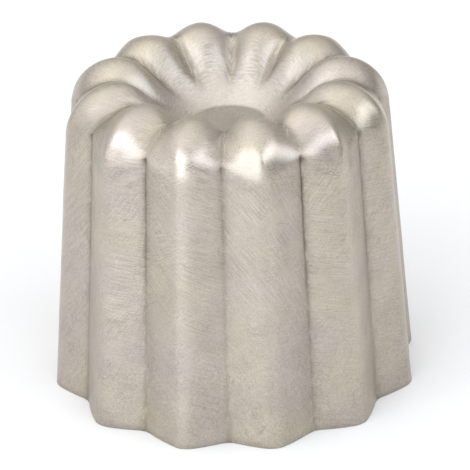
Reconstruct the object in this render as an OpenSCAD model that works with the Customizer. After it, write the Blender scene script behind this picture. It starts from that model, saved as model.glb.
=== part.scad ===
// Canele mould: one fluted metal cup, shown standing on its open rim.
// The axis is Z, the rim lies in the plane Z = 0 and the crown is at the top.
// The skin is lofted between two profiles, one along a ridge and one along
// the groove next to it. Both climb the wall, roll over the shoulder and run
// down into the dished crown. The inside follows the outside at one wall
// thickness, and the rim is cut flat. Sizes are in millimetres, angles in
// degrees.

/* [Body] */
// Width over two opposite ridges at the rim
mouth_d = 55; // [46:0.5:70]
// Height from the rim to the tops of the lobes
body_h = 48; // [40:0.5:60]
// Lean of the ridges toward the axis
draft = 4.55; // [2:0.05:7]
// Thickness of the metal
wall = 1.4; // [0.8:0.1:2]

/* [Flutes] */
// Number of flutes around the mould
flute_count = 12; // [9:1:13]
// Depth of the grooves at the rim
rim_groove = 2.5; // [1.5:0.1:3.5]
// Depth of the grooves where they reach the shoulder
top_groove = 1.85; // [1:0.05:2.6]
// Rounded share of a flank beside its ridge at the rim
rim_ridge_share = 0.22; // [0.14:0.01:0.5]
// Rounded share of a flank beside its ridge at the shoulder
top_ridge_share = 0.3; // [0.16:0.01:0.5]
// Rounded share of a flank beside its groove at the rim
rim_groove_share = 0.2; // [0.05:0.01:0.4]
// Rounded share of a flank beside its groove at the shoulder
top_groove_share = 0.08; // [0.04:0.01:0.4]

/* [Shoulder] */
// Radius of the shoulder along a ridge
shoulder_r = 7.7; // [6:0.1:9]
// Drop from the lobe tops to the pit where each groove bends inward
pit_drop = 4.8; // [3.8:0.1:6.5]
// Inward lean of the groove just above its pit
pit_lean = 26; // [14:1:35]
// Drop of the grooves below the lobe tops at the crest
crest_groove = 1.6; // [0.8:0.1:2.2]
// Step of the groove crest toward the axis from the ridge crest
crest_step = 0.2; // [0:0.1:1]
// Rounded share of a lobe beside its ridge over the crown
crown_ridge_share = 0.66; // [0.4:0.01:0.72]
// Rounded share of a lobe beside its groove over the crown
crown_groove_share = 0.26; // [0.15:0.01:0.28]

/* [Dish] */
// Depth of the crown floor below the lobe tops
dish_depth = 8.1; // [6.5:0.1:10]
// Width of the flat floor disc
floor_d = 10.6; // [8:0.2:13]
// Slope of the dish where it meets the floor
dish_slope = 33; // [26:1:38]
// Bend radius around the floor disc
floor_bend_r = 1.2; // [0.8:0.1:2.5]
// Level pull of the ridges past the crest
ridge_run = 4.4; // [3:0.1:5]
// Straight pull of the ridges up from the floor
ridge_foot = 7; // [5:0.1:7.5]
// Level pull of the grooves past the crest
groove_run = 1.5; // [1:0.1:3]
// Straight pull of the grooves up from the floor
groove_foot = 5.2; // [4:0.1:6]

/* [Smoothness] */
// Rows of facets up the wall
wall_rows = 4; // [2:1:5]
// Rows of facets over the shoulder
shoulder_rows = 7; // [5:1:8]
// Rows of facets down the dish
dish_rows = 9; // [6:1:10]

/* [Hidden] */
metal = [0.76, 0.73, 0.68];
mouth_r = mouth_d / 2;
// Skin below the rim that is cut away to leave the rim flat
rim_allowance = 2;
cut_h = 2 * rim_allowance;

// Radius of a ridge at a given height on the wall
function ridge_at(h) = mouth_r - h * tan(draft);

// The groove's pit and the crests that the two profiles roll over
pit_h = body_h - pit_drop;
pit = [ridge_at(pit_h) - top_groove, pit_h];
shoulder_run = shoulder_r / tan((90 + draft) / 2);
ridge_crest = [ridge_at(body_h) - shoulder_run, body_h];
groove_crest = ridge_crest - [crest_step, crest_groove];
// Shares of the distance from pit to crest that shape the groove between them
pit_pull = 0.26;
crest_pull = 0.32;

// The floor disc, and the foot of the dish on the bend around it
floor_r = floor_d / 2;
floor_h = body_h - dish_depth;
bend_rows = 2;
bend_centre = [floor_r, floor_h + floor_bend_r];
dish_foot = bend_centre + floor_bend_r * [sin(dish_slope), -cos(dish_slope)];
dish_dir = [cos(dish_slope), sin(dish_slope)];

// Places of the facet columns on half a flute, from the ridge at 0 toward the groove at 1
half_flute = [0, 0.14, 0.32, 0.56, 0.8];
half_count = len(half_flute);
flute_columns = 2 * half_count;
column_count = flute_columns * flute_count;
row_count = wall_rows + shoulder_rows + dish_rows + bend_rows;

function mix(a, b, t) = a + (b - a) * t;
function ease(t) = let (c = min(max(t, 0), 1)) c * c * (3 - 2 * c);
function unit(v) = v / norm(v);

// Each of these gives n points of a stretch, leaving its end to the next one
function line(from, to, n) = [for (k = [0:n - 1]) mix(from, to, k / n)];
function arc(centre, r, from, to, n) =
    [for (k = [0:n - 1]) let (a = mix(from, to, k / n)) centre + r * [cos(a), sin(a)]];
function curve(a, b, c, d, n) =
    [for (k = [0:n - 1]) let (t = k / n, s = 1 - t)
        s * s * s * a + 3 * s * s * t * b + 3 * s * t * t * c + t * t * t * d];

// The bend that ends both profiles on the edge of the floor disc
function floor_bend() = concat(
    arc(bend_centre, floor_bend_r, dish_slope - 90, -90, bend_rows),
    [[floor_r, floor_h]]);

// Profile along a ridge as radius and height: wall, shoulder arc, dish, floor
ridge = concat(
    line([ridge_at(-rim_allowance), -rim_allowance],
        ridge_crest + shoulder_r * [cos(draft), sin(draft) - 1], wall_rows),
    arc(ridge_crest - [0, shoulder_r], shoulder_r, draft, 90, shoulder_rows),
    curve(ridge_crest, ridge_crest - [ridge_run, 0],
        dish_foot + ridge_foot * dish_dir, dish_foot, dish_rows),
    floor_bend());

// Profile along a groove: wall, pit, low crest, dish, floor
groove_rim = [mouth_r - rim_groove, 0];
groove_reach = norm(groove_crest - pit);
groove = concat(
    line(mix(groove_rim, pit, -rim_allowance / pit_h), pit, wall_rows),
    curve(pit, pit + pit_pull * groove_reach * [-sin(pit_lean), cos(pit_lean)],
        groove_crest + [crest_pull * groove_reach, 0], groove_crest, shoulder_rows),
    curve(groove_crest, groove_crest - [groove_run, 0],
        dish_foot + groove_foot * dish_dir, dish_foot, dish_rows),
    floor_bend());

// Section across a flank: 0 on the ridge, 1 in the groove, straight between
// a rounded share a beside the ridge and a rounded share b beside the groove
function wave(x, a, b) =
    let (m = 1 / (1 - a / 2 - b / 2))
    x < a ? m * x * x / (2 * a) : x <= 1 - b ? m * (x - a / 2) : 1 - m * (1 - x) * (1 - x) / (2 * b);

// Both rounded shares of a row
function shares(i) =
    let (up = min(i / wall_rows, 1), over = ease((i - wall_rows) / shoulder_rows))
    [mix(mix(rim_ridge_share, top_ridge_share, up), crown_ridge_share, over),
     mix(mix(rim_groove_share, top_groove_share, up), crown_groove_share, over)];

// Place of each column across its flank, and its angle about the axis
flute = concat(half_flute, [1], [for (k = [half_count - 1:-1:1]) half_flute[k]]);
function is_falling(j) = j % flute_columns < half_count;
function turn(j) =
    let (x = flute[j % flute_columns], k = floor(j / flute_columns))
    (k + (is_falling(j) ? x / 2 : 1 - x / 2)) * 360 / flute_count;

outer = [for (i = [0:row_count]) let (s = shares(i))
    [for (j = [0:column_count - 1])
        let (q = mix(ridge[i], groove[i], wave(flute[j % flute_columns], s[0], s[1])))
        [q[0] * cos(turn(j)), q[0] * sin(turn(j)), q[1]]]];

// Direction out of the metal at a point of the outer skin
function outward(i, j) =
    let (
        around = outer[i][(j + 1) % column_count] - outer[i][(j + column_count - 1) % column_count],
        along = outer[min(i + 1, row_count)][j] - outer[max(i - 1, 0)][j]
    )
    i == row_count ? [0, 0, 1] : unit(cross(around, along));

inner = [for (i = [0:row_count]) [for (j = [0:column_count - 1]) outer[i][j] - wall * outward(i, j)]];

// Two triangles for each patch of skin, split alike on both flanks of a ridge
function patch(a, b, c, d, falling) = falling ? [[a, b, c], [a, c, d]] : [[a, b, d], [b, c, d]];

// Both skins from below the rim to the floor disc, joined along their lower edge
module skins() {
    function at(layer, i, j) = (layer * (row_count + 1) + i) * column_count + j % column_count;
    points = [for (layer = [outer, inner]) for (row = layer) for (p = row) p];
    outside = [for (i = [0:row_count - 1]) for (j = [0:column_count - 1])
        each patch(at(0, i, j), at(0, i + 1, j), at(0, i + 1, j + 1), at(0, i, j + 1), is_falling(j))];
    inside = [for (i = [0:row_count - 1]) for (j = [0:column_count - 1])
        each patch(at(1, i, j + 1), at(1, i + 1, j + 1), at(1, i + 1, j), at(1, i, j), !is_falling(j))];
    edge = [for (j = [0:column_count - 1])
        each patch(at(1, 0, j), at(0, 0, j), at(0, 0, j + 1), at(1, 0, j + 1), is_falling(j))];
    floor_top = [for (j = [column_count - 1:-1:0]) at(0, row_count, j)];
    floor_under = [for (j = [0:column_count - 1]) at(1, row_count, j)];
    polyhedron(points, concat(outside, inside, edge, [floor_top, floor_under]), convexity = 8);
}

module mould() {
    color(metal) difference() {
        skins();
        translate([-mouth_d, -mouth_d, -cut_h]) cube([2 * mouth_d, 2 * mouth_d, cut_h]);
    }
}

mould();
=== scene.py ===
# Looks of the canele mould: its skin as a fine mesh, its brushed metal, the light and the camera.
# The skin follows the CAD model's own rules, with the small unevenness of a hand-finished
# mould worked into it. Places are in metres in the frame of the CAD model: the rim lies in
# the plane Z = 0, the axis is Z, and the crown is at the top.
import math

import bpy
import numpy as np
from mathutils import Matrix, Vector, noise


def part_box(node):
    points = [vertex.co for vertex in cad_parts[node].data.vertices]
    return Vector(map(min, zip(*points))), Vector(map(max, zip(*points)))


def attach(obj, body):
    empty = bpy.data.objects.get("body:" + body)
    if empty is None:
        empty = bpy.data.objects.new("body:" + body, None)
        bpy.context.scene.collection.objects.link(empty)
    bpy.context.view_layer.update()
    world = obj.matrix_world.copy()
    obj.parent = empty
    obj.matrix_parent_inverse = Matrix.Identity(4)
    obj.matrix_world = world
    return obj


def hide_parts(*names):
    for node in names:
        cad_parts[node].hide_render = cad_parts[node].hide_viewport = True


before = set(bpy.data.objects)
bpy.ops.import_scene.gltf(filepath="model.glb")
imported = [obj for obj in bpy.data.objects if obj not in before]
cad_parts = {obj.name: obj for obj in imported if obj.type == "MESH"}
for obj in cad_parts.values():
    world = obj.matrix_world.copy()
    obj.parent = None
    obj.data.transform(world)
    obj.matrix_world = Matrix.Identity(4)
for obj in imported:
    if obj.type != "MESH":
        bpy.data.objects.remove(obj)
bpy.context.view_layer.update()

cad_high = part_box("mould")[1]
MM = 0.001

# Form of the mould, in the sizes that the CAD model has
FLUTES = 12
MOUTH_R = cad_high.x
BODY_H = cad_high.z
DRAFT = math.radians(4.55)
WALL = 1.4 * MM
RIM_GROOVE = 2.5 * MM
TOP_GROOVE = 1.85 * MM
# Rounded shares of a flank, beside its ridge and beside its groove
RIM_SHARES = (0.22, 0.2)
TOP_SHARES = (0.3, 0.08)
CROWN_SHARES = (0.66, 0.26)
SHOULDER_R = 7.7 * MM
# The pit where a groove bends inward, and the pulls and places that shape the groove from there to its crest
PIT_DROP = 4.8 * MM
PIT_LEAN = math.radians(26)
PIT_PULL = 0.26
CREST_PULL = 0.32
CREST_GROOVE = 1.6 * MM
CREST_STEP = 0.2 * MM
# The dish, the bend around its floor disc, and the pulls of a ridge and a groove into it
DISH_DEPTH = 8.1 * MM
DISH_SLOPE = math.radians(33)
FLOOR_R = 5.3 * MM
FLOOR_BEND_R = 1.2 * MM
RIDGE_RUN = 4.4 * MM
RIDGE_FOOT = 7 * MM
GROOVE_RUN = 1.5 * MM
GROOVE_FOOT = 5.2 * MM

# Marks of the hand that finished it, and bands where light and shade are painted on the metal. A width is the
# distance at which a mark has faded to about a third.
# How far both edges of the rim are broken
EDGE_BREAK = 0.12 * MM
# Crease along each groove: depth at its top, share of that left at the rim, and widths at the rim and the top
CREASE_DEPTH = 0.18 * MM
CREASE_LOW = 0.4
CREASE_WIDTH = (0.36 * MM, 0.2 * MM)
# Rows past the wall in which a crease ends, and the groove whose crease runs on over the shoulder
CREASE_END_ROWS = 3
LONG_CREASE = 9
LONG_CREASE_ROWS = 30
# Dark pit at the top of each crease
PIT_WIDTH = 0.5 * MM
# Band along each groove that is painted darker as shade and holds the grime, and its strength on the wall
# against the crown
VALLEY_WIDTH = 0.8 * MM
VALLEY_ON_WALL = 0.4
# Shares of the way down the dish between which the lobes die out into a round bowl
BOWL_TOP = (0.62, 0.95)
# Radius in the middle of the dish, where the strokes that run round it have their true length
DISH_MIDDLE_R = 11 * MM
# Line where a flank turns into its lobe: depth and width of the hollow, and its drop below the line
BREAK_DEPTH = 0.18 * MM
BREAK_WIDTH = 0.9 * MM
BREAK_DROP = 0.9 * MM
# The line comes in beside the ridge over one part in this many of the flank, and the gain brings its
# strongest place to about 1
BREAK_RISE = 3
BREAK_GAIN = 1.6
# Slope at which a lobe starts to lean back above the line, the run in which that slope dies out, and the run
# after it in which the lobe comes back to its even form
LEAN = 0.26
LEAN_RUN = 2.2 * MM
LEAN_FADE = 8 * MM
# Polish along each ridge of the wall. On the shoulder it comes in over the first run, lasts to the end of the
# second one and fades over as much again.
POLISH_WIDTH = 1.1 * MM
POLISH_START = 1.2 * MM
POLISH_RUN = 5 * MM
# Broad and fine waves of the surface
WAVE_DEPTH = 0.1 * MM
WAVE_LENGTH = 7 * MM
FINE_WAVE_DEPTH = 0.03 * MM
FINE_WAVE_LENGTH = 2.4 * MM
# How much higher each groove's crest lies than in the even form, in mm, from the groove after +X round to +X
CREST_LIFTS = [0.1, -0.15, 0.05, -0.1, 0.6, -0.1, 0.1, -0.15, 0, -0.7, 0.05, 0.1]
# How deep the crease in each groove is, against the deepest, in the same order
CREASE_STRENGTH = [0.6, 0.8, 0.4, 0.9, 0.6, 0.7, 0.8, 0.7, 0.7, 0.5, 1, 0.6]
# Strength of the painted sheen beside each ridge, from the one on +X round to +X, the widths of its painted
# bright band on the flank after it and on the flank before it, and the share of the painted sheen at the rim
RIDGE_SHEEN_STRENGTH = [0.4, 0.6, 0.3, 0.5, 0.7, 0.4, 0.5, 0.6, 0.3, 1, 0.3, 0.2]
PAINTED_SHEEN_WIDTH = (2 * MM, 0.5 * MM)
PAINTED_SHEEN_LOW = 0.6
# How round each flank is beside its ridge, against the even form, from the flank after +X round to +X
RIDGE_ROUND = [
    1, 1.2, 0.8, 1.3, 0.9, 1, 1.2, 0.8, 1, 1.3, 0.8, 1.1,
    1, 0.9, 1, 0.7, 1.2, 0.35, 1.4, 1.2, 0.7, 1, 0.8, 1,
]
# How marked the line is between each flank and its lobe, in the same order
FLANK_BREAK = [
    0.6, 0.9, 0.5, 0.7, 1, 0.4, 0.8, 0.6, 0.9, 0.5, 0.7, 1,
    0.6, 0.8, 0.5, 0.7, 1, 0.3, 0.1, 0.7, 0.5, 1, 1, 0.7,
]
# Direction of the sanding on each flank, in degrees up from level, in the same order
FLANK_BRUSH = [
    12, -30, 78, -52, 8, 35, -20, 60, -70, 15, -40, 85,
    25, -12, 50, 85, -4, -30, -25, -48, -60, -12, 80, -8,
]
# The same for each lobe of the crown, from the lobe on +X round to +X
LOBE_BRUSH = [10, -15, 20, -8, 12, -20, 5, 15, -10, 6, -12, 18]
# Distance in mm between the strokes of two neighbours in their common noise, so that none runs on from one
# part to the next
BRUSH_APART = 31

# Rows of faces along each stretch of the skin, and columns on half a flute, all even
WALL_ROWS = 36
SHOULDER_ROWS = 32
DISH_ROWS = 30
BEND_ROWS = 6
HALF_COLUMNS = 24
# Power that draws the columns a little closer together beside the ridge
COLUMN_POWER = 1.15
# The inner skin has one row and one column for this many of the outer one
INNER_STEP = 2
SHARP_ANGLE = math.radians(55)


def mix(a, b, t):
    return a + (b - a) * t


def ease(t):
    t = np.clip(t, 0, 1)
    return t * t * (3 - 2 * t)


def point(r, z):
    return np.array([r, z])


def line(a, b, n):
    t = (np.arange(n) / n)[:, None]
    return mix(a, b, t)


def arc(centre, r, start, end, n):
    angle = mix(start, end, np.arange(n) / n)
    return centre + r * np.stack([np.cos(angle), np.sin(angle)], 1)


def curve(a, b, c, d, n):
    t = (np.arange(n) / n)[:, None]
    s = 1 - t
    return s**3 * a + 3 * s * s * t * b + 3 * s * t * t * c + t**3 * d


def ridge_at(h):
    return MOUTH_R - h * math.tan(DRAFT)


# Profiles along a ridge and along a groove, as radius and height
pit = point(ridge_at(BODY_H - PIT_DROP) - TOP_GROOVE, BODY_H - PIT_DROP)
ridge_crest = point(ridge_at(BODY_H) - SHOULDER_R / math.tan((math.pi / 2 + DRAFT) / 2), BODY_H)
groove_crest = ridge_crest - point(CREST_STEP, CREST_GROOVE)
bend_centre = point(FLOOR_R, BODY_H - DISH_DEPTH + FLOOR_BEND_R)
dish_foot = bend_centre + FLOOR_BEND_R * point(math.sin(DISH_SLOPE), -math.cos(DISH_SLOPE))
dish_dir = point(math.cos(DISH_SLOPE), math.sin(DISH_SLOPE))
shoulder_start = ridge_crest + SHOULDER_R * point(math.cos(DRAFT), math.sin(DRAFT) - 1)
reach = np.linalg.norm(groove_crest - pit)
pit_dir = point(-math.sin(PIT_LEAN), math.cos(PIT_LEAN))
floor_bend = np.concatenate([
    arc(bend_centre, FLOOR_BEND_R, DISH_SLOPE - math.pi / 2, -math.pi / 2, BEND_ROWS),
    [point(FLOOR_R, BODY_H - DISH_DEPTH)],
])
ridge = np.concatenate([
    line(point(MOUTH_R, 0), shoulder_start, WALL_ROWS),
    arc(ridge_crest - point(0, SHOULDER_R), SHOULDER_R, DRAFT, math.pi / 2, SHOULDER_ROWS),
    curve(ridge_crest, ridge_crest - point(RIDGE_RUN, 0),
          dish_foot + RIDGE_FOOT * dish_dir, dish_foot, DISH_ROWS),
    floor_bend,
])
groove = np.concatenate([
    line(point(MOUTH_R - RIM_GROOVE, 0), pit, WALL_ROWS),
    curve(pit, pit + PIT_PULL * reach * pit_dir,
          groove_crest + point(CREST_PULL * reach, 0), groove_crest, SHOULDER_ROWS),
    curve(groove_crest, groove_crest - point(GROOVE_RUN, 0),
          dish_foot + GROOVE_FOOT * dish_dir, dish_foot, DISH_ROWS),
    floor_bend,
])
rows = len(ridge)


def wave(x, a, b):
    """Section across a flank: 0 on the ridge, 1 in the groove, with rounded shares a and b at its ends."""
    m = 1 / (1 - a / 2 - b / 2)
    near_groove = 1 - m * (1 - x) ** 2 / (2 * b)
    return np.where(x < a, m * x * x / (2 * a), np.where(x <= 1 - b, m * (x - a / 2), near_groove))


# Places of the columns on half a flute, from the ridge at 0 to the groove at 1, closest beside the groove
half = np.sin(np.arange(HALF_COLUMNS + 1) / HALF_COLUMNS * math.pi / 2) ** COLUMN_POWER
flute_columns = 2 * HALF_COLUMNS
columns = FLUTES * flute_columns

# Numbers of the grid's rows and columns, and of the parts that a column lies on, from +X round. A flank
# reaches from a ridge to the groove beside it, and a span from one ridge over a groove to the next.
row = np.arange(rows)[:, None]
column = np.arange(columns)[None, :]
flank_number = column // HALF_COLUMNS
ridge_number = (flank_number + 1) // 2 % FLUTES
span = flank_number // 2
falling = flank_number % 2 == 0
from_ridge = np.where(falling, column % flute_columns, flute_columns - column % flute_columns)
x = half[from_ridge]
turn = (span + np.where(falling, x / 2, 1 - x / 2)) * 2 * math.pi / FLUTES

# How far each row lies up the wall, over the shoulder, down the dish and into the bowl, each from 0 to 1
on_wall = np.clip(row / WALL_ROWS, 0, 1)
over = ease((row - WALL_ROWS) / SHOULDER_ROWS)
down_dish = np.clip((row - WALL_ROWS - SHOULDER_ROWS) / DISH_ROWS, 0, 1)
past_crest = ease(down_dish * 2)
in_bowl = ease((down_dish - BOWL_TOP[0]) / (BOWL_TOP[1] - BOWL_TOP[0]))


def even_skin():
    """Points of the outer skin, even but for the heights of its crests and the roundness of its ridges."""
    ridge_round = np.array(RIDGE_ROUND)[flank_number]
    ridge_share = mix(mix(RIM_SHARES[0], TOP_SHARES[0], on_wall) * ridge_round, CROWN_SHARES[0], over)
    groove_share = mix(mix(RIM_SHARES[1], TOP_SHARES[1], on_wall), CROWN_SHARES[1], over)
    w = wave(x, ridge_share, groove_share) * (1 - in_bowl)
    lift = np.array(CREST_LIFTS)[span] * MM * over * (1 - past_crest)
    r = mix(ridge[:, None, 0], groove[:, None, 0], w)
    z = mix(ridge[:, None, 1], groove[:, None, 1], w) + lift * w
    return np.stack([r * np.cos(turn), r * np.sin(turn), z], -1)


def normals(grid):
    """Directions out of the metal. The last row lies around the level floor disc."""
    around = np.roll(grid, -1, 1) - np.roll(grid, 1, 1)
    n = np.cross(around, np.gradient(grid, axis=0))
    n /= np.linalg.norm(n, axis=-1, keepdims=True)
    n[-1] = (0, 0, 1)
    return n


def roughly(grid, length, seed):
    """Smooth noise from 0 to 1 at each point, in humps about as wide as length."""
    place = Vector((seed, 2.3 * seed, 5.1 * seed))
    values = [noise.noise(Vector(p) / length + place) for p in grid.reshape(-1, 3)]
    return np.clip(np.array(values).reshape(grid.shape[:2]) / 2 + 0.5, 0, 1)


even = even_skin()
even_normal = normals(even)

# Distances along the skin: up each column from the rim and from the wall's end, and along each row
rise = np.linalg.norm(np.diff(even, axis=0), axis=-1)
climb = np.concatenate([np.zeros((1, columns)), np.cumsum(rise, 0)])
past_wall = climb - climb[WALL_ROWS]
first_flank = even[:, :HALF_COLUMNS + 1]
run = np.linalg.norm(np.diff(first_flank, axis=1), axis=-1)
run = np.concatenate([np.zeros((rows, 1)), np.cumsum(run, 1)], 1)
off_ridge = run[:, from_ridge[0]]
off_groove = run[:, -1:] - off_ridge

# A crease deepens up the wall, and ends where the shoulder starts, but for the long one
crease_end = np.where(span == LONG_CREASE, LONG_CREASE_ROWS, CREASE_END_ROWS)
crease_width = mix(CREASE_WIDTH[0], CREASE_WIDTH[1], on_wall)
crease = np.exp(-(off_groove / crease_width) ** 2) * (1 - ease((row - WALL_ROWS) / crease_end))
crease = crease * np.array(CREASE_STRENGTH)[span] * mix(CREASE_LOW, 1, ease(on_wall * 1.3 - 0.2))

pit_mark = np.exp(-((past_wall + PIT_WIDTH / 2) / PIT_WIDTH) ** 2 - (off_groove / PIT_WIDTH) ** 2)
pit_mark = pit_mark * np.array(CREASE_STRENGTH)[span]

# Where a flank turns into its lobe it is a little hollow below the line, and leans back at once above it
flank_break = np.array(FLANK_BREAK)[flank_number] * BREAK_GAIN * ease(BREAK_RISE * x) * (1 - x)
wall_end = np.exp(-((past_wall + BREAK_DROP) / BREAK_WIDTH) ** 2) * flank_break
up_lean = np.clip(past_wall, 0, LEAN_RUN)
lean_left = 1 - ease((past_wall - LEAN_RUN) / LEAN_FADE)
lean_back = (up_lean - up_lean**2 / (2 * LEAN_RUN)) * lean_left * flank_break

dip = (CREASE_DEPTH * crease + BREAK_DEPTH * wall_end + LEAN * lean_back
       + WAVE_DEPTH * roughly(even, WAVE_LENGTH, 3) + FINE_WAVE_DEPTH * roughly(even, FINE_WAVE_LENGTH, 8))
outer = even - dip[..., None] * even_normal
inner = (even - WALL * even_normal)[::INNER_STEP, ::INNER_STEP]


def broken_edge(grid, out):
    """The grid with its lowest row at the height of the edge break, and below that a row on the floor.

    out is 1 for the outer skin and -1 for the inner one.
    """
    level = grid[:1] * (1, 1, 0)
    outward = level / np.linalg.norm(level, axis=-1, keepdims=True)
    return np.concatenate([level - out * EDGE_BREAK * outward, level + (0, 0, EDGE_BREAK), grid[1:]])


def edged(grid):
    """Values of the grid with those of the lowest row twice, for the row that the broken edge adds."""
    return np.concatenate([grid[:1], grid])


def both_skins(grid):
    """Values at the points of the outer skin and then of the inner one."""
    grid = np.broadcast_to(grid, (rows, columns))
    return np.concatenate([edged(grid).ravel(), edged(grid[::INNER_STEP, ::INNER_STEP]).ravel()])


def ring_faces(first, ring_count, ring_size, flip):
    """Four-cornered faces between rings of points, one above the other from the first point on."""
    r, c = np.meshgrid(np.arange(ring_count - 1), np.arange(ring_size), indexing="ij")
    a = first + r * ring_size + c
    b = first + r * ring_size + (c + 1) % ring_size
    faces = np.stack([a, b, b + ring_size, a + ring_size], -1).reshape(-1, 4)
    return faces[:, ::-1].tolist() if flip else faces.tolist()


def rim_faces(outside, inside):
    """Flat faces between the ring of outer points and the sparser ring of inner ones."""
    ring = outside + outside[:1]
    faces = []
    for k in range(len(inside)):
        far = ring[INNER_STEP * k:INNER_STEP * (k + 1) + 1]
        faces.append([inside[k], inside[(k + 1) % len(inside)]] + far[::-1])
    return faces


def corner_values(grid, every):
    """Values at the corners of each face of a skin that has every so many of the grid's rows and columns."""
    near = edged(grid[::every, ::every])
    far = np.roll(near, -1, 1)
    return np.stack([near[:-1], far[:-1], far[1:], near[1:]], -1)


def brush_places(every, angles, number):
    """Corner coordinates in mm along and across the sanding, at an angle of its own for each number."""
    number = number[:, ::every, None]
    sign = np.where(falling, 1, -1)[:, ::every, None]
    along = sign * corner_values(off_ridge, every) / MM
    up = corner_values(climb, every) / MM
    angle = np.radians(np.array(angles))[number]
    return np.stack([
        along * np.cos(angle) + up * np.sin(angle) + BRUSH_APART * number,
        up * np.cos(angle) - along * np.sin(angle),
    ], -1)


def add_brush_map(mesh, name, angles, number, flat):
    """UV map along the sanding of both skins, with the given places for the corners of the flat faces."""
    outside = brush_places(1, angles, number)
    inside = brush_places(INNER_STEP, angles, number)[:, :, ::-1]
    places = np.concatenate([part.reshape(-1, 2) for part in (outside, inside, flat)])
    mesh.uv_layers.new(name=name).data.foreach_set("uv", places.ravel())


def add_mark(mesh, name, values):
    mesh.attributes.new(name, "FLOAT", "POINT").data.foreach_set("value", values)


def marks():
    """Where the metal bears each trace of its making and use, and where light and shade are painted on it, as
    values from 0 to about 1 on the grid.
    """
    # A painted sheen: the metal is painted lighter in a band beside each ridge of the wall
    sheen_width = np.where(falling, PAINTED_SHEEN_WIDTH[0], PAINTED_SHEEN_WIDTH[1])
    painted_ridge_sheen = np.exp(-(off_ridge / sheen_width) ** 2) * (1 - over) * mix(PAINTED_SHEEN_LOW, 1, on_wall)
    return {
        "crease": crease,
        "ridge": np.exp(-(off_ridge / POLISH_WIDTH) ** 2) * (1 - over),
        "painted_ridge_sheen": painted_ridge_sheen * np.array(RIDGE_SHEEN_STRENGTH)[ridge_number],
        "crown": over,
        "shoulder": ease(past_wall / POLISH_START) * (1 - ease((past_wall - POLISH_RUN) / POLISH_RUN)),
        "pit": pit_mark,
        "wall_end": wall_end,
        "bowl": in_bowl,
        "disc": ease((row - rows + 1 + BEND_ROWS) / BEND_ROWS),
        "valley": np.exp(-(off_groove / VALLEY_WIDTH) ** 2) * mix(VALLEY_ON_WALL, 1, over) * (1 - in_bowl),
        "dish": past_crest,
        "height": on_wall,
    }


def skin_mesh():
    """One closed mesh: outer skin, inner skin, the rim between them and both faces of the floor disc."""
    outside = broken_edge(outer, 1)
    inside = broken_edge(inner, -1)
    points = np.concatenate([outside.reshape(-1, 3), inside.reshape(-1, 3)])
    inner_columns = columns // INNER_STEP
    first = len(outside) * columns
    last = len(points) - 1

    faces = ring_faces(0, len(outside), columns, False)
    faces += ring_faces(first, len(inside), inner_columns, True)
    mapped = len(faces)
    faces += rim_faces(list(range(columns)), list(range(first, first + inner_columns)))
    faces.append(list(range(first - columns, first)))
    faces.append(list(range(last, last - inner_columns, -1)))

    mesh = bpy.data.meshes.new("mould_skin")
    mesh.from_pydata(points.tolist(), [], faces)
    flat = np.array([points[corner, :2] / MM for face in faces[mapped:] for corner in face])
    add_brush_map(mesh, "wall_brush", FLANK_BRUSH, flank_number, flat)
    add_brush_map(mesh, "crown_brush", LOBE_BRUSH, ridge_number, flat)
    for name, values in marks().items():
        add_mark(mesh, name, both_skins(values))
    add_mark(mesh, "inside", (np.arange(len(points)) >= first).astype(float))
    mesh.polygons.foreach_set("use_smooth", [True] * len(faces))
    mesh.set_sharp_from_angle(angle=SHARP_ANGLE)
    return mesh


# Colours of the metal, of its warm and rosy patches and of the dish, and the shares that the patches and the
# colour of the dish have in it
METAL = (0.46, 0.416, 0.362, 1)
METAL_WARM = (0.471, 0.4225, 0.341, 1)
METAL_ROSY = (0.456, 0.4035, 0.363, 1)
METAL_PALE = (0.448, 0.414, 0.376, 1)
PATCH_SHARE = 0.75
PALE_SHARE = 0.6
# Colours of the dirt in the creases and of the thinner grime along the grooves, and how strong each is
GRIME = (0.1, 0.08, 0.055, 1)
LOW_GRIME = (0.27, 0.225, 0.17, 1)
DIRT = 0.65
PIT_DIRT = 1.3
TARNISH = 0.6

# Kinds of strokes: length and width in mm, degrees off the direction of the sanding, and seed
STROKES = {
    "wall": (4.2, 0.15, 0, 1),
    "wall_crossing": (2.4, 0.15, 58, 2),
    "short": (0.9, 0.11, 35, 3),
    "short_crossing": (0.9, 0.11, -50, 4),
    "crown": (2.6, 0.15, 0, 5),
    "crown_crossing": (1.8, 0.15, 72, 6),
    "long_scratch": (9, 1.6, 12, 7),
    "tarnish": (0.5, 4, 0, 15),
    "glint": (1.8, 0.2, 4, 16),
    "nick": (1.6, 0.2, -12, 17),
    "line": (0.7, 0.25, 8, 18),
    "dish": (1.6, 0.15, 0, 19),
}
# Kinds of patches in the space of the mould: size in mm, and seed
PATCHES = {
    "crossing": (6, 1),
    "low": (6, 5),
    "scratch": (5, 8),
    "grain": (0.22, 9),
    "mottle": (4.5, 10),
    "hue": (9, 11),
    "dirt": (2.2, 12),
    "smear": (1.2, 13),
    "wall": (5, 14),
    "dish": (4, 20),
    "short": (3, 21),
}
# Share of the long strokes that is missing near the rim, strength of the short ones in their place, and
# share of the lobes' strokes that goes on into the dish
LOW_LOSS = 0.6
SHORT_STRENGTH = 0.6
DISH_SANDING = 0.3
# Distances from the middle value of a noise at which a long scratch is full and at which it has faded
SCRATCH_EDGES = (0.003, 0.012)

# Painted light and shade: how much brighter or darker each mark makes the metal, as a share of its colour.
# The crown and the bowl are painted lighter, the dish and the floor disc darker, and a sheen is painted
# beside the ridges
PAINTED_LIGHT_TONES = {
    "painted_ridge_sheen": 0.1,
    "crown": 0.32,
    "dish": -0.18,
    "bowl": 0.26,
    "disc": -0.26,
}
# The same for the sanding on rough metal, on smooth metal and in the dish, and for the rest
SANDING_TONES = (0.25, 0.17, 0.3)
STROKE_TONE = 0.11
NICK_SHARE = -0.9
SCRATCH_TONE = -0.14
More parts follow.
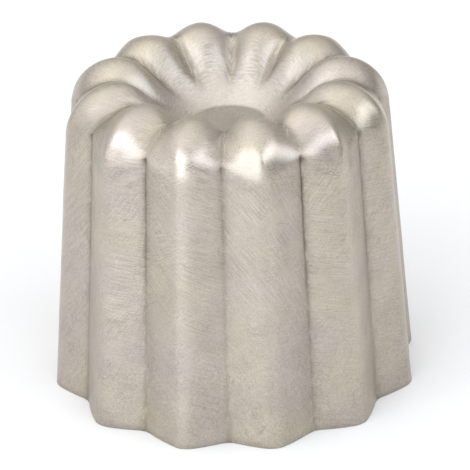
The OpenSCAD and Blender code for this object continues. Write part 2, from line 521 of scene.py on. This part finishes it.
# Painted shade along the grooves, in the hollow below each lobe's line and towards the foot of the wall
GROOVE_SHADE_TONE = -0.34
LINE_SHADE_TONE = -0.24
FOOT_SHADE_TONE = -0.05
MOTTLE_TONE = 0.05
GRAIN_TONE = 0.06

WALL_ROUGHNESS = 0.46
CROWN_ROUGHNESS = 0.4
POLISHED_ROUGHNESS = 0.31
SANDING_ROUGHNESS = 0.12
INSIDE_ROUGHNESS = 0.1

# Depth of the relief, its strength in the sanding of rough and of smooth metal, what is added to that near
# the rim, and its strength in a long scratch
BUMP_DEPTH = 0.02 * MM
ROUGH_RELIEF = 0.55
SMOOTH_RELIEF = 0.13
LOW_RELIEF = -0.2
SCRATCH_RELIEF = -0.4


class Tree:
    """Short ways to add nodes. A value may be a number or the socket that it comes from."""

    def __init__(self, owner):
        owner.use_nodes = True
        self.nodes = owner.node_tree.nodes
        self.links = owner.node_tree.links

    def add(self, kind, values, **settings):
        made = self.nodes.new(kind)
        for name, setting in settings.items():
            setattr(made, name, setting)
        for name, value in values.items():
            self.put(value, made.inputs[name])
        return made

    def put(self, value, socket):
        if isinstance(value, bpy.types.NodeSocket):
            self.links.new(value, socket)
        else:
            socket.default_value = value

    def maths(self, operation, a, b=0.0):
        return self.add("ShaderNodeMath", {0: a, 1: b}, operation=operation).outputs[0]

    def plus(self, a, b):
        return self.maths("ADD", a, b)

    def times(self, a, b):
        return self.maths("MULTIPLY", a, b)

    def total(self, start, *terms):
        """The start, with each value times its weight added to it."""
        for value, weight in terms:
            start = self.plus(start, self.times(value, weight))
        return start

    def without(self, value):
        """What the value leaves of 1."""
        return self.total(1.0, (value, -1.0))

    def blend(self, share, a, b):
        return self.add("ShaderNodeMix", {0: share, 2: a, 3: b}).outputs[0]

    def tint(self, share, a, b, **settings):
        return self.add("ShaderNodeMix", {0: share, 6: a, 7: b}, data_type="RGBA", **settings).outputs[2]

    def ramp(self, value, edges, results=(0.0, 1.0)):
        """Goes smoothly from one result to the other while the value goes from edge to edge."""
        low, high = edges
        to_low, to_high = results
        values = {"Value": value, "From Min": low, "From Max": high, "To Min": to_low, "To Max": to_high}
        return self.add("ShaderNodeMapRange", values, interpolation_type="SMOOTHSTEP").outputs["Result"]

    def mark(self, name):
        return self.add("ShaderNodeAttribute", {}, attribute_name=name).outputs["Fac"]

    def brush(self, name):
        return self.add("ShaderNodeUVMap", {}, uv_map=name).outputs["UV"]

    def strokes(self, coords, kind, detail=2.0):
        """Streaks from 0 to 1 of a kind in STROKES, for coordinates in mm along and across the sanding."""
        length, width, angle, seed = STROKES[kind]
        values = {
            "Vector": coords,
            "Location": (seed * 3.7, seed * 1.9, seed),
            "Rotation": (0, 0, math.radians(angle)),
            "Scale": (length, width, 1),
        }
        placed = self.add("ShaderNodeMapping", values, vector_type="TEXTURE").outputs[0]
        values = {"Vector": placed, "Scale": 1.0, "Detail": detail, "Roughness": 0.6}
        return self.add("ShaderNodeTexNoise", values, noise_dimensions="2D").outputs["Fac"]

    def scratched(self, coords, kind):
        """Fine crisp strokes of a kind in STROKES, from -0.5 to 0.5."""
        return self.ramp(self.strokes(coords, kind), (0.36, 0.64), (-0.5, 0.5))

    def rings(self):
        """Coordinates in mm round the axis, at the middle of the dish, and out from it."""
        place = self.add("ShaderNodeTexCoord", {}).outputs["Object"]
        parts = self.add("ShaderNodeSeparateXYZ", {0: place}).outputs
        across, away = parts["X"], parts["Y"]
        out = self.maths("SQRT", self.plus(self.times(across, across), self.times(away, away)))
        angle = self.maths("ARCTAN2", away, across)
        values = {"X": self.times(angle, DISH_MIDDLE_R / MM), "Y": self.times(out, 1 / MM)}
        return self.add("ShaderNodeCombineXYZ", values).outputs[0]

    def cloud(self, kind, detail=2.0):
        """Even noise from 0 to 1, in patches of a kind in PATCHES."""
        size, seed = PATCHES[kind]
        place = self.add("ShaderNodeTexCoord", {}).outputs["Object"]
        values = {"Vector": place, "W": seed, "Scale": 1 / (size * MM), "Detail": detail}
        return self.add("ShaderNodeTexNoise", values, noise_dimensions="4D").outputs["Fac"]

    def patches(self, kind, edges, results=(0.0, 1.0)):
        """Soft-edged patches of a kind in PATCHES."""
        return self.ramp(self.cloud(kind), edges, results)


def sanded(tree, low):
    """Strokes along each part's own direction, crossed by others in places, with short ones near the rim."""
    wall, crown, on_crown = tree.brush("wall_brush"), tree.brush("crown_brush"), tree.mark("crown")
    main = tree.blend(on_crown, tree.scratched(wall, "wall"), tree.scratched(crown, "crown"))
    main = tree.times(main, tree.patches("wall", (0.35, 0.65), (0.4, 1.0)))
    crossing = tree.blend(
        on_crown, tree.scratched(wall, "wall_crossing"), tree.scratched(crown, "crown_crossing"))
    crossing = tree.times(crossing, tree.patches("crossing", (0.45, 0.6), (0.1, 0.9)))
    short = tree.plus(tree.scratched(wall, "short"), tree.scratched(wall, "short_crossing"))
    short = tree.times(short, tree.patches("short", (0.45, 0.65), (0.7, 1.5)))
    strokes = tree.times(tree.plus(main, crossing), tree.total(1.0, (low, -LOW_LOSS)))
    strokes = tree.total(strokes, (short, tree.times(low, SHORT_STRENGTH)))
    turned = tree.times(tree.scratched(tree.rings(), "dish"), tree.patches("dish", (0.4, 0.6), (0.3, 1.0)))
    return tree.blend(tree.mark("dish"), strokes, tree.total(turned, (strokes, DISH_SANDING)))


def single_strokes(tree):
    """Light and dark strokes that stand out on the wall, and a few long thin scratches."""
    wall = tree.brush("wall_brush")
    off_crown = tree.without(tree.mark("crown"))
    glint = tree.ramp(tree.strokes(wall, "glint"), (0.63, 0.74))
    nick = tree.ramp(tree.strokes(wall, "nick"), (0.27, 0.36), (1.0, 0.0))
    # A scratch lies where a stretched noise crosses its middle
    off_line = tree.maths("ABSOLUTE", tree.plus(tree.strokes(wall, "long_scratch", 0.0), -0.5))
    scratches = tree.ramp(off_line, SCRATCH_EDGES, (1.0, 0.0))
    scratches = tree.times(scratches, tree.patches("scratch", (0.5, 0.6)))
    return tree.times(tree.total(glint, (nick, NICK_SHARE)), off_crown), tree.times(scratches, off_crown)


def plain_colour(tree):
    """The metal's own colour, warmer and rosier in patches and paler in the dish."""
    patches = tree.tint(tree.patches("hue", (0.35, 0.65)), METAL_ROSY, METAL_WARM)
    colour = tree.tint(PATCH_SHARE, METAL, patches)
    return tree.tint(tree.times(tree.mark("dish"), PALE_SHARE), colour, METAL_PALE)


def tone(tree, sanding, smooth, strokes, scratches):
    """How bright the metal is from place to place, against its own colour, painted light and shade included.
    """
    height, dish, valley = tree.mark("height"), tree.mark("dish"), tree.mark("valley")
    rough_tone, smooth_tone, dish_tone = SANDING_TONES
    contrast = tree.blend(dish, tree.blend(smooth, rough_tone, smooth_tone), dish_tone)
    mottle = tree.ramp(tree.cloud("mottle", 3.0), (0.3, 0.7), (-MOTTLE_TONE, MOTTLE_TONE))
    grain = tree.ramp(tree.cloud("grain", 1.0), (0.35, 0.65), (-GRAIN_TONE, GRAIN_TONE))
    # Painted shade: the wall a little darker towards its foot on the floor
    foot = tree.ramp(height, (0.0, 0.6), (FOOT_SHADE_TONE, 0.0))
    # Painted shade along each groove of the wall, stronger higher up
    painted_groove_shade = tree.times(valley, tree.without(tree.mark("crown")))
    painted_groove_shade = tree.times(painted_groove_shade, tree.ramp(height, (0.2, 0.9)))
    # Painted shade in the hollow just below the line where each flank turns into its lobe, broken up by
    # strokes
    painted_line_shade = tree.ramp(tree.strokes(tree.brush("wall_brush"), "line"), (0.4, 0.56))
    painted_line_shade = tree.times(tree.mark("wall_end"), painted_line_shade)
    return tree.total(
        tree.plus(tree.plus(mottle, grain), tree.plus(foot, 1.0)),
        (sanding, contrast),
        (strokes, STROKE_TONE),
        (scratches, SCRATCH_TONE),
        (painted_groove_shade, GROOVE_SHADE_TONE),
        (painted_line_shade, LINE_SHADE_TONE),
        # Painted light and shade of the crown, dish, bowl, floor disc and ridges
        *[(tree.mark(name), strength) for name, strength in PAINTED_LIGHT_TONES.items()],
    )


def with_grime(tree, colour):
    """Dark dirt in the creases and pits, tarnish along the grooves and a brown smear at the foot of each."""
    valley = tree.mark("valley")
    dirt = tree.times(tree.mark("crease"), tree.patches("dirt", (0.35, 0.6), (0.25, 1.0)))
    tarnish = tree.times(valley, tree.ramp(tree.strokes(tree.brush("crown_brush"), "tarnish"), (0.36, 0.58)))
    smear = tree.times(valley, tree.ramp(tree.mark("height"), (0.03, 0.25), (1.0, 0.0)))
    colour = tree.tint(tree.times(dirt, DIRT), colour, GRIME)
    colour = tree.tint(tree.times(tree.mark("pit"), PIT_DIRT), colour, GRIME)
    colour = tree.tint(tree.times(tarnish, TARNISH), colour, LOW_GRIME)
    return tree.tint(tree.times(smear, tree.patches("smear", (0.4, 0.6))), colour, LOW_GRIME)


def brushed_metal():
    metal = bpy.data.materials.new("brushed_metal")
    tree = Tree(metal)
    on_crown = tree.mark("crown")
    polished = tree.maths("MAXIMUM", tree.mark("ridge"), tree.mark("shoulder"))
    smooth = tree.maths("MAXIMUM", on_crown, polished)
    low = tree.ramp(tree.total(tree.mark("height"), (tree.cloud("low"), 0.5)), (0.4, 0.85), (1.0, 0.0))
    sanding = sanded(tree, low)
    strokes, scratches = single_strokes(tree)

    shade = tone(tree, sanding, smooth, strokes, scratches)
    grey = tree.add("ShaderNodeCombineColor", {0: shade, 1: shade, 2: shade}).outputs[0]
    colour = tree.tint(1.0, plain_colour(tree), grey, blend_type="MULTIPLY")

    roughness = tree.blend(on_crown, WALL_ROUGHNESS, CROWN_ROUGHNESS)
    roughness = tree.blend(polished, roughness, POLISHED_ROUGHNESS)
    roughness = tree.total(roughness, (sanding, SANDING_ROUGHNESS), (tree.mark("inside"), INSIDE_ROUGHNESS))

    depth = tree.total(tree.blend(smooth, ROUGH_RELIEF, SMOOTH_RELIEF), (low, LOW_RELIEF))
    relief = tree.total(tree.times(sanding, depth), (scratches, SCRATCH_RELIEF))
    bump = tree.add("ShaderNodeBump", {"Height": relief, "Distance": BUMP_DEPTH, "Strength": 1.0})

    shader = tree.nodes["Principled BSDF"]
    tree.put(with_grime(tree, colour), shader.inputs["Base Color"])
    tree.put(1.0, shader.inputs["Metallic"])
    tree.put(roughness, shader.inputs["Roughness"])
    tree.put(bump.outputs[0], shader.inputs["Normal"])
    return metal


def add_object(name, data):
    made = bpy.data.objects.new(name, data)
    bpy.context.scene.collection.objects.link(made)
    return made


def add_skin():
    skin = add_object("mould_skin", skin_mesh())
    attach(skin, "root")
    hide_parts("mould")
    skin.data.materials.append(brushed_metal())


# Camera, as far away and as high as the photo was taken from. Sensor and lens are in mm.
VIEW_TURN = math.radians(17.89)
VIEW_HEIGHT = math.radians(27.01)
VIEW_ROLL = math.radians(-1.64)
VIEW_DISTANCE = 0.5377
VIEW_TARGET = Vector((0, 0, BODY_H / 2))
SENSOR = 36
LENS = 277.6
SHIFT = (0.0077, -0.0359)
to_right = Vector((math.cos(VIEW_TURN), math.sin(VIEW_TURN), 0))
to_front = Vector((math.sin(VIEW_TURN), -math.cos(VIEW_TURN), 0))
upward = Vector((0, 0, 1))


def add_camera():
    back = to_front * math.cos(VIEW_HEIGHT) + upward * math.sin(VIEW_HEIGHT)
    level_up = upward * math.cos(VIEW_HEIGHT) - to_front * math.sin(VIEW_HEIGHT)
    right = to_right * math.cos(VIEW_ROLL) + level_up * math.sin(VIEW_ROLL)
    top = level_up * math.cos(VIEW_ROLL) - to_right * math.sin(VIEW_ROLL)
    data = bpy.data.cameras.new("camera")
    data.sensor_width = SENSOR
    data.lens = LENS
    data.shift_x, data.shift_y = SHIFT
    camera = add_object("camera", data)
    camera.matrix_world = Matrix((right, top, back)).transposed().to_4x4()
    camera.location = VIEW_TARGET + VIEW_DISTANCE * back
    bpy.context.scene.camera = camera


# Softboxes: degrees right of the camera's side, degrees above the floor, strength, width and height.
# A strength of 1 is as bright as white paper in full light.
LAMP_DISTANCE = 0.6
COOL = (0.92, 0.99, 1.1)
LAMPS = {
    "key": (-38, 39, 1.65, 0.58, 0.33),
    "low": (-25, 14, 1.45, 0.32, 0.22),
    "front": (44, 42, 1.6, 0.52, 0.24),
    "fill": (86, 34, 1.45, 0.3, 0.25),
}


def toward(right, up):
    """Direction from the mould, as degrees right of the camera's side and degrees above the floor."""
    right, up = math.radians(right), math.radians(up)
    level = to_right * math.sin(right) + to_front * math.cos(right)
    return level * math.cos(up) + upward * math.sin(up)


def add_lamp(name, right, up, strength, width, tall):
    data = bpy.data.lights.new(name, "AREA")
    data.shape = "RECTANGLE"
    data.size = width
    data.size_y = tall
    data.energy = strength * math.pi * width * tall
    data.color = COOL
    lamp = add_object(name, data)
    lamp.location = VIEW_TARGET + toward(right, up) * LAMP_DISTANCE
    lamp.rotation_euler = (-toward(right, up)).to_track_quat("-Z", "Y").to_euler()


# The tent around it: light overhead and on the left, a low band that is strongest in front, and a white cove.
# The band and the cove fade out between two heights, given as the sine of the angle above the floor.
TENT_TOP = 1.2
TENT_LEFT = 0.58
TENT_LEFT_WAY = toward(-90, 20)
BAND = 0.3
BAND_FRONT = 1.3
BAND_FRONT_WAY = toward(-23, 0)
BAND_TOP = (0.05, 0.5)
COVE_TOP = (0.03, 0.09)
WHITE = (1, 1, 1, 1)


def add_tent():
    world = bpy.data.worlds.new("studio")
    bpy.context.scene.world = world
    tree = Tree(world)
    direction = tree.add("ShaderNodeTexCoord", {}).outputs["Generated"]

    def facing(way):
        along = tree.add("ShaderNodeVectorMath", {0: direction, 1: way}, operation="DOT_PRODUCT")
        return tree.maths("MAXIMUM", along.outputs["Value"], 0.0)

    height = tree.add("ShaderNodeSeparateXYZ", {0: direction}).outputs["Z"]
    overhead = tree.times(tree.maths("MAXIMUM", height, 0.0), TENT_TOP)
    left = tree.maths("POWER", facing(TENT_LEFT_WAY), 2.0)
    band = tree.plus(tree.times(facing(BAND_FRONT_WAY), BAND_FRONT), BAND)
    level = tree.total(overhead, (left, TENT_LEFT), (band, tree.ramp(height, BAND_TOP, (1.0, 0.0))))
    cove = tree.ramp(height, COVE_TOP, (1.0, 0.0))
    background = tree.nodes["Background"]
    tree.put(WHITE, background.inputs["Color"])
    tree.put(tree.maths("MAXIMUM", level, cove), background.inputs["Strength"])


FLOOR_REACH = 6
PAPER = (0.9, 0.9, 0.9, 1)


def add_floor():
    corners = [(x * FLOOR_REACH, y * FLOOR_REACH, 0) for x, y in ((-1, -1), (1, -1), (1, 1), (-1, 1))]
    mesh = bpy.data.meshes.new("floor")
    mesh.from_pydata(corners, [], [(0, 1, 2, 3)])
    floor = add_object("floor", mesh)
    paper = bpy.data.materials.new("paper")
    tree = Tree(paper)
    tree.put(PAPER, tree.nodes["Principled BSDF"].inputs["Base Color"])
    mesh.materials.append(paper)


add_skin()
add_camera()
for name, lamp in LAMPS.items():
    add_lamp(name, *lamp)
add_tent()
add_floor()

bpy.context.scene.view_settings.view_transform = "Standard"
